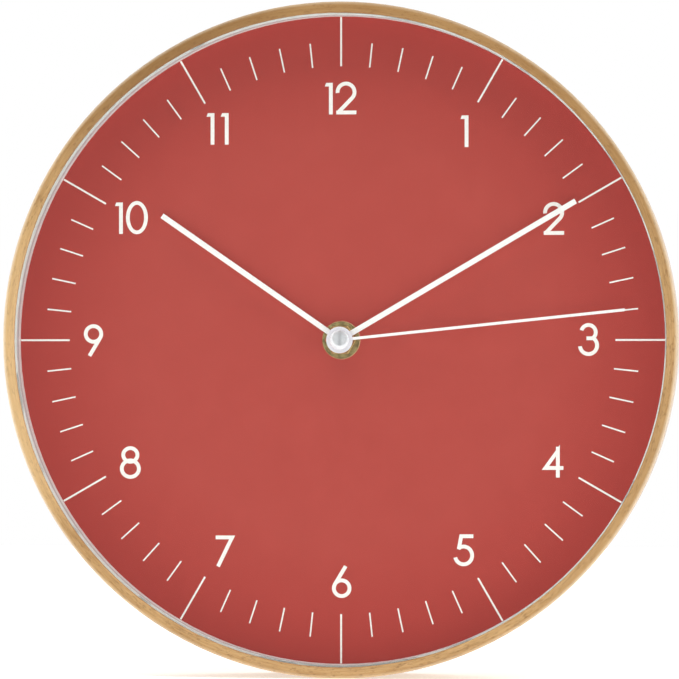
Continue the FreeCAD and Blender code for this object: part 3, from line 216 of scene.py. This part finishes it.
def bent_beech():
    """Clear-lacquered beech whose grain runs round the hoop, with a slanted lap joint, stretches of
    tone round the hoop that are partly painted shade and light, and a painted highlight on the
    rounded front edge.
    """
    look = Look("bent_beech", Coat_Weight=0.25, Coat_Roughness=0.22, Specular_IOR_Level=0.35)
    radius, outward, depth = polar(look)
    drift = around(look, radius, outward, depth, 1.3, 45)
    bands = around(look, radius, outward, depth, 2.2, 230)
    streaks = around(look, radius, outward, depth, 6, 900)
    fibres = around(look, radius, outward, depth, 24, 2600)
    flecks = around(look, radius, outward, depth, 60, 1500)
    tone = look.mix(look.span(drift, 0.35, 0.65), colour(197, 158, 103), colour(171, 131, 78))
    tone = look.mix(look.span(bands, 0.45, 0.62, 0.0, 0.4), tone, colour(158, 116, 66))
    tone = look.mix(look.span(streaks, 0.44, 0.66, 0.0, 0.6), tone, colour(144, 102, 54))
    tone = look.mix(look.span(fibres, 0.35, 0.7, 0.0, 0.4), tone, colour(218, 186, 136))
    tone = look.mix(look.span(flecks, 0.54, 0.64, 0.0, 0.55), tone, colour(116, 80, 42))
    # The darker stretch over the top is partly the wood's own tone and partly painted shade; the
    # dark patch near 123 degrees is grain.
    tone = look.mix(on_stretch(look, outward, 70, 70, 34, 0.6), tone, colour(142, 102, 54))
    tone = look.mix(on_stretch(look, outward, 123, 27, 4, 0.6), tone, colour(118, 80, 34))
    # The lighter stretch on the left is partly the wood's own tone and partly painted light; the
    # stretch near 334 degrees is darker.
    tone = look.mix(on_stretch(look, outward, 186, 30, 8, 0.4), tone, colour(232, 198, 146))
    tone = look.mix(on_stretch(look, outward, 334, 26, 6, 0.4), tone, colour(150, 112, 66))
    # The pale cream on the rounded front edge is a painted highlight.
    tone = look.mix(painted_edge_highlight(look, radius, outward, depth, fibres), tone, colour(252, 236, 208))
    joint = lap_joint(look, outward, depth)
    look.set("Base Color", look.mix(joint, tone, colour(96, 64, 34)))
    look.set("Roughness", look.span(streaks, 0.3, 0.7, 0.3, 0.46))
    under = look.bump(fibres, 0.00005)
    look.bump(streaks, 0.00009, under)
    return look.material


def on_stretch(look, outward, middle, reach, full, most):
    """How far a point is into a stretch of the hoop. Angles are in degrees from 3 o'clock."""
    turn = math.radians(middle)
    towards = (math.cos(turn), 0.0, math.sin(turn))
    edge, core = math.cos(math.radians(reach)), math.cos(math.radians(full))
    return look.span(look.dot(outward, towards), edge, core, 0.0, most)


def painted_edge_highlight(look, radius, outward, depth, fibres):
    """A painted highlight on the rounded front edge: most at the sides, and in patches."""
    x, _, _ = look.axes(outward)
    sides = look.span(look.maths("ABSOLUTE", x), 0.3, 0.95, 0.3, 0.6)
    patches = look.span(fibres, 0.3, 0.6, 1.0, 0.55)
    outer = look.span(radius, CASE_RADIUS - 0.0016, CASE_RADIUS - 0.0004)
    front = look.span(depth, CASE_FRONT + 0.0008, CASE_FRONT + 0.0014, 1.0, 0.0)
    edge = look.maths("MULTIPLY", outer, front)
    return look.maths("MULTIPLY", edge, look.maths("MULTIPLY", sides, patches))


def lap_joint(look, outward, depth):
    """1 on the glue line where the strip's ends lap, at the bottom of the hoop."""
    x, _, z = look.axes(outward)
    slant = look.maths("MULTIPLY", depth, 0.9)
    along = look.maths("MULTIPLY", x, CASE_RADIUS)
    off_line = look.maths("ABSOLUTE", look.maths("SUBTRACT", along, slant))
    line = look.span(off_line, 0.00012, 0.0003, 0.6, 0.0)
    outside = look.maths("MULTIPLY", look.maths("LESS_THAN", z, 0.0),
                         look.maths("GREATER_THAN", depth, CASE_FRONT + 0.0015))
    return look.maths("MULTIPLY", line, outside)


def clear_glass():
    """Float glass: clear, with a faint reflection at a grazing view."""
    look = Look("clear_glass")
    smears = look.noise(look.place(), 22, 4, 0.6)
    gloss = look.add("BsdfGlossy", {"Color": (1, 1, 1, 1),
                                    "Roughness": look.span(smears, 0.3, 0.8, 0.01, 0.06)})
    clear = look.add("BsdfTransparent", {"Color": (0.985, 0.995, 0.99, 1)})
    leaving = look.add("NewGeometry", {}).outputs["Backfacing"]
    fresnel = look.add("Fresnel", {"IOR": 1.45}).outputs["Fac"]
    share = look.maths("MULTIPLY", fresnel, look.maths("SUBTRACT", 1.0, leaving))
    pane = look.add("MixShader", {0: share, 1: clear.outputs[0], 2: gloss.outputs[0]})
    output = look.tree.nodes["Material Output"]
    look.feed(output.inputs["Surface"], pane.outputs[0])
    return look.material


def red_card():
    """Uncoated card with a flat red print, its tooth just showing, and painted shade darkening it
    towards the rim.
    """
    look = Look("red_card", Specular_IOR_Level=0.18)
    radius, _, _ = polar(look)
    place = look.place()
    mottle = look.noise(place, 90, 4, 0.6)
    tooth = look.noise(place, 2600, 2, 0.6)
    tone = look.mix(look.span(mottle, 0.3, 0.7), colour(175, 66, 57), colour(180, 70, 61))
    # Painted shade: the card darkens towards the rim, where the lip shades it.
    tone = look.mix(look.span(radius, 0.09, 0.14, 0.0, 0.85), tone, colour(170, 52, 44))
    tone = look.mix(look.span(tooth, 0.35, 0.75, 0.0, 0.22), tone, colour(160, 54, 46))
    look.set("Base Color", tone)
    look.set("Roughness", look.span(tooth, 0.3, 0.7, 0.7, 0.85))
    look.bump(tooth, 0.00002)
    return look.material


def flat_coat(name, light, dark, shine):
    """A thin layer of ink or enamel with a faint mottle. Gives its look and its tone."""
    look = Look(name, Specular_IOR_Level=0.3)
    place = look.place()
    mottle = look.noise(place, 700, 3, 0.6)
    grain = look.noise(place, 4200, 2, 0.5)
    look.set("Roughness", look.span(grain, 0.3, 0.7, shine - 0.07, shine + 0.07))
    look.bump(grain, 0.000008)
    return look, look.mix(look.span(mottle, 0.35, 0.7), light, dark)


def white_ink():
    """Screen-printed white ink."""
    look, tone = flat_coat("white_ink", colour(252, 249, 244), colour(246, 242, 236), 0.62)
    look.set("Base Color", tone)
    return look.material


def hand_enamel():
    """White enamel on stamped sheet, a cool grey on the hubs."""
    look, tone = flat_coat("white_enamel", colour(250, 249, 247), colour(242, 240, 236), 0.42)
    radius, _, _ = polar(look)
    hub = look.span(radius, 0.0055, 0.0065, 1.0, 0.0)
    look.set("Base Color", look.mix(hub, tone, colour(226, 222, 229)))
    return look.material


def moulded(name, light, dark, shine, **constants):
    """Moulded plastic or rubber: a spark-eroded grain, and faint flow marks."""
    look = Look(name, **constants)
    place = look.place()
    flow = look.noise(place, 60, 3, 0.6)
    grain = look.noise(place, 2200, 3, 0.7)
    tone = look.mix(look.span(flow, 0.3, 0.7), light, dark)
    look.set("Base Color", look.mix(look.span(grain, 0.55, 0.8, 0.0, 0.3), tone, dark))
    look.set("Roughness", look.span(grain, 0.3, 0.75, shine - 0.06, shine + 0.1))
    look.bump(grain, 0.00003)
    return look.material


def turned_lines(look):
    """Fine lathe lines round the hand axis, and the distance from that axis."""
    radius, _, depth = polar(look)
    return look.noise(look.vector(radius, depth, 0.0), 5200, 2, 0.7), radius


def turned_metal(name, light, dark, shine, relief=0.000006):
    """Metal turned in a lathe round the hand axis, with a little tarnish."""
    look = Look(name, Metallic=1.0)
    lines, _ = turned_lines(look)
    tarnish = look.noise(look.place(), 320, 4, 0.6)
    look.set("Base Color", look.mix(look.span(tarnish, 0.35, 0.7), light, dark))
    look.set("Roughness", look.span(lines, 0.3, 0.7, shine - 0.05, shine + 0.09))
    look.bump(lines, relief)
    return look.material


def brass():
    """Turned brass, dulled on the flats, with a bright rim on the washer that is a painted
    highlight.
    """
    look = Look("brass", Metallic=1.0)
    lines, radius = turned_lines(look)
    tarnish = look.noise(look.place(), 420, 4, 0.6)
    # The bright band at the washer's rim is a painted highlight.
    rim = look.span(radius, 0.0082, 0.0085)
    tone = look.mix(look.span(tarnish, 0.38, 0.62), colour(196, 176, 120), colour(146, 124, 76))
    look.set("Base Color", look.mix(rim, tone, colour(246, 214, 166)))
    look.set("Roughness", look.span(lines, 0.3, 0.7, 0.12, 0.26))
    look.bump(lines, 0.000006)
    return look.material


def sheet_metal(name, light, dark, shine):
    """Rolled sheet: fine lines along one axis, cloudy plating and a faint spangle."""
    look = Look(name, Metallic=1.0)
    place = look.place()
    lines = look.noise(look.scaled(place, 1, 1, 0.04), 3200, 3, 0.6)
    clouds = look.noise(place, 130, 4, 0.6)
    spangle = look.add("TexVoronoi", {"Vector": place, "Scale": 420}).outputs["Distance"]
    tone = look.mix(look.span(clouds, 0.35, 0.7), light, dark)
    look.set("Base Color", look.mix(look.span(spangle, 0.2, 0.7, 0.0, 0.35), tone, dark))
    look.set("Roughness", look.span(lines, 0.3, 0.7, shine - 0.06, shine + 0.1))
    look.bump(lines, 0.000006)
    return look.material


def fibreboard():
    """Raw pressed fibre: short pale and dark fibres in a brown ground."""
    look = Look("fibreboard", Specular_IOR_Level=0.2)
    place = look.place()
    clouds = look.noise(place, 28, 4, 0.6)
    fibres = look.noise(look.scaled(place, 1, 1, 0.35), 1500, 4, 0.7)
    crossing = look.noise(look.scaled(place, 0.35, 1, 1), 1300, 4, 0.7)
    tone = look.mix(look.span(clouds, 0.3, 0.7), colour(164, 126, 84), colour(148, 110, 70))
    tone = look.mix(look.span(fibres, 0.52, 0.7, 0.0, 0.6), tone, colour(196, 160, 116))
    tone = look.mix(look.span(crossing, 0.55, 0.72, 0.0, 0.65), tone, colour(96, 66, 40))
    look.set("Base Color", tone)
    look.set("Roughness", look.span(fibres, 0.3, 0.7, 0.75, 0.92))
    under = look.bump(fibres, 0.00006)
    look.bump(crossing, 0.00006, under)
    return look.material


def pine():
    """Sawn softwood: bands of early and late wood, with saw marks across them."""
    look = Look("pine", Specular_IOR_Level=0.25)
    place = look.place()
    wander = look.noise(look.scaled(place, 6, 30, 30), 1.0, 3, 0.5)
    x, y, z = look.axes(place)
    across = look.maths("ADD", look.maths("MULTIPLY", z, 420), look.maths("MULTIPLY", y, 230))
    phase = look.maths("ADD", look.maths("MULTIPLY", wander, 9.0), across)
    rings = look.maths("PINGPONG", phase, 1.0)
    fibres = look.noise(look.scaled(place, 0.06, 1, 1), 2400, 3, 0.6)
    saw = look.noise(look.scaled(place, 1, 0.05, 0.05), 900, 2, 0.5)
    tone = look.mix(look.span(rings, 0.45, 0.98, 0.0, 0.8), colour(226, 194, 140),
                    colour(186, 134, 78))
    tone = look.mix(look.span(fibres, 0.5, 0.75, 0.0, 0.35), tone, colour(238, 212, 166))
    look.set("Base Color", tone)
    look.set("Roughness", look.span(fibres, 0.3, 0.7, 0.62, 0.8))
    under = look.bump(saw, 0.00008)
    look.bump(fibres, 0.00004, under)
    return look.material


def battery_print():
    """Plain printed film: a dark sleeve with a copper band at its positive end."""
    look = Look("battery_print", Coat_Weight=0.5, Coat_Roughness=0.12)
    low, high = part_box("battery_sleeve")
    place = look.place()
    x, _, _ = look.axes(place)
    band = look.maths("GREATER_THAN", x, low.x + 0.72 * (high.x - low.x))
    edge = look.maths("COMPARE", x, low.x + 0.715 * (high.x - low.x), 0.0004)
    mottle = look.noise(place, 500, 3, 0.6)
    dark = look.mix(look.span(mottle, 0.3, 0.7), colour(44, 48, 56), colour(38, 41, 48))
    copper = look.mix(look.span(mottle, 0.3, 0.7), colour(196, 122, 66), colour(178, 108, 58))
    tone = look.mix(band, dark, copper)
    look.set("Base Color", look.mix(edge, tone, colour(222, 222, 218)))
    look.set("Metallic", look.maths("MULTIPLY", band, 0.55))
    look.set("Roughness", look.span(mottle, 0.3, 0.7, 0.26, 0.38))
    look.bump(mottle, 0.00001)
    return look.material


def wound_wire():
    """A coil of enamelled wire: turns side by side round its core, with painted shade in the
    grooves between them.
    """
    look = Look("copper_wire", Metallic=0.85, Coat_Weight=0.4, Coat_Roughness=0.2)
    place = look.place()
    x, _, _ = look.axes(place)
    turns = look.maths("PINGPONG", look.maths("MULTIPLY", x, 9000), 1.0)
    tint = look.noise(place, 800, 3, 0.6)
    tone = look.mix(look.span(tint, 0.3, 0.7), colour(204, 116, 62), colour(168, 84, 42))
    # The dark lines between the turns are painted shade.
    look.set("Base Color", look.mix(look.span(turns, 0.0, 0.3, 0.5, 0.0), tone,
                                    colour(96, 42, 20)))
    look.set("Roughness", look.span(tint, 0.3, 0.7, 0.28, 0.4))
    look.bump(turns, 0.00004)
    return look.material


def make_looks():
    """The finish that each material slot of the record stands for."""
    return {
        "bent_beech": bent_beech(),
        "clear_glass": clear_glass(),
        "white_plastic": moulded("white_plastic", colour(244, 251, 250), colour(238, 246, 245),
                                 0.38),
        "grey_seal": moulded("grey_seal", colour(205, 214, 214), colour(192, 202, 202), 0.7),
        "red_card": red_card(),
        "white_ink": white_ink(),
        "fibreboard": fibreboard(),
        "black_rubber": moulded("black_rubber", colour(38, 38, 39), colour(26, 26, 27), 0.72),
        "brass": brass(),
        "white_enamel": hand_enamel(),
        "polished_cap": turned_metal("polished_cap", colour(238, 237, 240),
                                     colour(226, 225, 230), 0.12, relief=0.000001),
        "black_plastic": moulded("black_plastic", colour(34, 34, 36), colour(24, 24, 25), 0.45),
        "white_acetal": moulded("white_acetal", colour(240, 236, 226), colour(228, 224, 212), 0.4),
        "dark_magnet": turned_metal("dark_magnet", colour(96, 96, 100), colour(70, 70, 74), 0.4),
        "grey_plastic": moulded("grey_plastic", colour(146, 148, 150), colour(124, 126, 130), 0.5),
        "silicon_steel": sheet_metal("silicon_steel", colour(196, 197, 200), colour(158, 160, 164),
                                     0.34),
        "amber_nylon": moulded("amber_nylon", colour(222, 184, 118), colour(196, 154, 84), 0.42),
        "copper_wire": wound_wire(),
        "green_board": moulded("green_board", colour(52, 120, 78), colour(38, 98, 62), 0.34,
                               Coat_Weight=0.3),
        "nickel_can": sheet_metal("nickel_can", colour(216, 215, 210), colour(186, 185, 180), 0.26),
        "black_epoxy": moulded("black_epoxy", colour(24, 24, 25), colour(16, 16, 17), 0.2,
                               Coat_Weight=0.6),
        "nickel_strip": sheet_metal("nickel_strip", colour(214, 211, 200), colour(180, 176, 164),
                                    0.3),
        "battery_metal": turned_metal("battery_metal", colour(212, 212, 212),
                                      colour(176, 176, 177), 0.28),
        "battery_print": battery_print(),
        "pine": pine(),
        "zinc_steel": sheet_metal("zinc_steel", colour(206, 208, 212), colour(164, 168, 176), 0.3),
    }


def dress(looks):
    """Gives every part the finish of its slot; the screws and the nut have their own, the nut's a
    lighter brass that is a painted highlight.
    """
    slots = {part["node"]: part["material_slot"] for part in frame["record"]["subparts"]}
    own = {
        "hanger_screws": sheet_metal("yellow_zinc", colour(196, 172, 108), colour(150, 128, 84),
                                     0.28),
        # The nut's lighter brass is a painted highlight: a lit copy of the washer's brass.
        "fixing_nut": turned_metal("brass_painted_highlight", colour(240, 218, 150), colour(210, 184, 118),
                                   0.16),
    }
    for name, node in frame["nodes"].items():
        for slot in node.material_slots:
            slot.material = own.get(name, looks[slots[name]])


def add_piece(name, mesh, finish, looks):
    """A detail of the case that is made here, with a slot's finish."""
    mesh.materials.append(looks[finish])
    detail = bpy.data.objects.new(name, mesh)
    bpy.context.collection.objects.link(detail)
    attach(detail, "clock_case")


def mesh_of(name, points, faces, round_by):
    """A closed mesh with its edges rounded."""
    mesh = bpy.data.meshes.new(name)
    mesh.from_pydata(points, [], faces)
    shell = bmesh.new()
    shell.from_mesh(mesh)
    bmesh.ops.recalc_face_normals(shell, faces=shell.faces)
    sharp = [edge for edge in shell.edges if edge.calc_face_angle() > math.radians(25)]
    bmesh.ops.bevel(shell, geom=sharp, offset=round_by, segments=2, affect="EDGES")
    shell.to_mesh(mesh)
    shell.free()
    return mesh


def wall_faces(count, here, there):
    """The faces between two copies of a closed profile of count points."""
    return [(here + j, here + (j + 1) % count, there + (j + 1) % count, there + j)
            for j in range(count)]


def add_knob_collar(looks):
    """The raised collar that is moulded round the setting knob on the cover."""
    low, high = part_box("setting_knob")
    middle = (low + high) / 2
    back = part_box("movement_cover")[1].y
    count = len(COLLAR_PROFILE)
    points = []
    faces = []
    for i in range(COLLAR_STEPS):
        turn = 2 * math.pi * i / COLLAR_STEPS
        for radius, rise in COLLAR_PROFILE:
            points.append((middle.x + radius * math.cos(turn), back + rise,
                           middle.z + radius * math.sin(turn)))
        faces += wall_faces(count, i * count, (i + 1) % COLLAR_STEPS * count)
    collar = mesh_of("knob_collar", points, faces, 0.00012)
    add_piece("knob_collar", collar, "black_plastic", looks)


def add_cover_clips(looks):
    """Four snap hooks, moulded on the sides of the housing, that hold its cover."""
    low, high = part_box("movement_cover")
    count = len(CLIP_PROFILE)
    ends = [tuple(range(count)), tuple(range(count, 2 * count))]
    for number, (side, share) in enumerate(CLIPS, start=1):
        wall = high.x if side > 0 else low.x
        height = low.z + share * (high.z - low.z)
        points = [(wall + side * out, high.y + rise, height + half)
                  for half in (-CLIP_HALF, CLIP_HALF) for out, rise in CLIP_PROFILE]
        name = f"cover_clip_{number}"
        clip = mesh_of(name, points, ends + wall_faces(count, 0, count), 0.0001)
        add_piece(name, clip, "black_plastic", looks)


def add_glue_beads(looks):
    """A squeezed-out bead of glue round the foot of each block."""
    corners = [vertex.co for vertex in frame["nodes"]["glue_blocks"].data.vertices]
    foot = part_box("dial_board")[1].y
    for number in range(BLOCKS):
        turn = 2 * math.pi * (number + 0.5) / BLOCKS
        outward = Vector((math.sin(turn), 0, math.cos(turn)))
        along = Vector((math.cos(turn), 0, -math.sin(turn)))
        block = [c for c in corners if c.dot(outward) > abs(c.dot(along))]
        inner = min(c.dot(outward) for c in block)
        outer = max(c.dot(outward) for c in block)
        half = max(c.dot(along) for c in block)
        stops = ((-half, 0.35 * inner + 0.65 * outer), (-half, inner), (half, inner),
                 (half, 0.45 * inner + 0.55 * outer))
        add_bead(f"glue_bead_{number + 1}", stops, outward, along, foot, looks)


def add_bead(name, stops, outward, along, foot, looks):
    """A round bead through stops of (along, outward), whose thickness wanders."""
    line = bpy.data.curves.new(name, "CURVE")
    line.dimensions = "3D"
    line.bevel_depth = BEAD_RADIUS
    line.bevel_resolution = 4
    line.use_fill_caps = True
    route = [Vector(start).lerp(Vector(end), i / BEAD_STEPS)
             for start, end in zip(stops, stops[1:]) for i in range(BEAD_STEPS)]
    route.append(Vector(stops[-1]))
    run = line.splines.new("NURBS")
    run.points.add(len(route) - 1)
    for i, (place, point) in enumerate(zip(route, run.points)):
        spot = along * place.x + outward * place.y
        point.co = (spot.x, foot + BEAD_LIFT, spot.z, 1)
        point.radius = 0.8 + 0.25 * math.sin(1.9 * i + 700 * spot.x) * math.sin(0.7 * i)
    run.order_u = 3
    run.use_endpoint_u = True
    add_piece(name, mesh_of_curve(name, line), "amber_nylon", looks)


def mesh_of_curve(name, line):
    """The smooth mesh of a curve's bevelled shape."""
    shape = bpy.data.objects.new(name, line)
    bpy.context.collection.objects.link(shape)
    bpy.context.view_layer.update()
    evaluated = shape.evaluated_get(bpy.context.evaluated_depsgraph_get())
    mesh = bpy.data.meshes.new_from_object(evaluated)
    bpy.data.objects.remove(shape)
    for face in mesh.polygons:
        face.use_smooth = True
    mesh.materials.clear()
    return mesh


def add_floor():
    """A wide pale floor that the case stands on."""
    look = Look("floor", Specular_IOR_Level=0.1)
    grain = look.noise(look.place(), 14, 3, 0.5)
    look.set("Base Color", look.mix(look.span(grain, 0.3, 0.7), (0.9, 0.9, 0.9, 1),
                                    (0.88, 0.88, 0.885, 1)))
    look.set("Roughness", 0.8)
    look.set("Emission Color", (1, 1, 1, 1))
    look.set("Emission Strength", FLOOR_GLOW)
    half = FLOOR_SIDE / 2
    level = cad_box[0].z
    corners = [(-half, -half, level), (half, -half, level), (half, half, level),
               (-half, half, level)]
    mesh = bpy.data.meshes.new("floor")
    mesh.from_pydata(corners, [], [(0, 1, 2, 3)])
    mesh.materials.append(look.material)
    floor = bpy.data.objects.new("floor", mesh)
    floor.visible_glossy = False
    floor.visible_shadow = False
    bpy.context.collection.objects.link(floor)


def add_softbox(name, place, width, height, power):
    """A square lamp aimed at the middle of the clock."""
    lamp = bpy.data.lights.new(name, "AREA")
    lamp.shape = "RECTANGLE"
    lamp.size, lamp.size_y, lamp.energy = width, height, power
    holder = bpy.data.objects.new(name, lamp)
    holder.location = place
    holder.rotation_euler = (-Vector(place)).to_track_quat("-Z", "Y").to_euler()
    holder.visible_camera = False
    holder.visible_glossy = False
    bpy.context.collection.objects.link(holder)


def add_world():
    """A white room, a little darker ahead of the dial, with a full white backdrop."""
    world = bpy.data.worlds.new("studio")
    world.use_nodes = True
    nodes = Nodes(world.node_tree)
    towards = nodes.add("TexCoord", {}).outputs["Generated"]
    x, _, _ = nodes.axes(towards)
    gap = nodes.span(nodes.maths("ABSOLUTE", x), 0.08, 0.3, ROOM_GAP, ROOM_AHEAD)
    centre = nodes.span(nodes.dot(towards, AHEAD), 0.5, 0.62)
    mirrored = nodes.blend(centre, ROOM_SHEEN, gap)
    path = nodes.add("LightPath", {}).outputs
    glossy = nodes.blend(path["Is Glossy Ray"], ROOM_LIGHT, mirrored)
    seen = nodes.blend(path["Is Camera Ray"], glossy, BACKDROP)
    back = world.node_tree.nodes["Background"]
    nodes.feed(back.inputs["Strength"], seen)
    nodes.feed(back.inputs["Color"], (1, 1, 1, 1))
    bpy.context.scene.world = world


def add_camera():
    """A long lens a little to the right of the hand axis and below it."""
    low, high = cad_box
    aim = Vector(((low.x + high.x) / 2, low.y, (low.z + high.z) / 2))
    lens = bpy.data.cameras.new("camera")
    lens.lens, lens.shift_x, lens.shift_y = LENS_MM, SHIFT_X, SHIFT_Y
    camera = bpy.data.objects.new("camera", lens)
    camera.location = EYE
    camera.rotation_euler = (aim - EYE).to_track_quat("-Z", "Y").to_euler()
    bpy.context.collection.objects.link(camera)
    bpy.context.scene.camera = camera


def add_studio():
    """The floor, the room, the lamps and the camera."""
    add_floor()
    add_world()
    add_softbox("front_fill", (0.0, -0.5, -0.14), 0.25, 0.25, 0.5)
    add_softbox("overhead", (0.0, -0.45, 1.4), 1.4, 0.7, 14)
    add_softbox("left_box", (-1.6, -0.42, 0.1), 0.7, 1.3, 7)
    add_softbox("right_box", (1.6, -0.42, 0.1), 0.7, 1.3, 7)
    add_softbox("back_box", (0.6, 2.0, 1.1), 1.4, 1.4, 30)
    add_camera()
    bpy.context.scene.view_settings.view_transform = "Standard"


finishes = make_looks()
dress(finishes)
add_knob_collar(finishes)
add_cover_clips(finishes)
add_glue_beads(finishes)
add_studio()
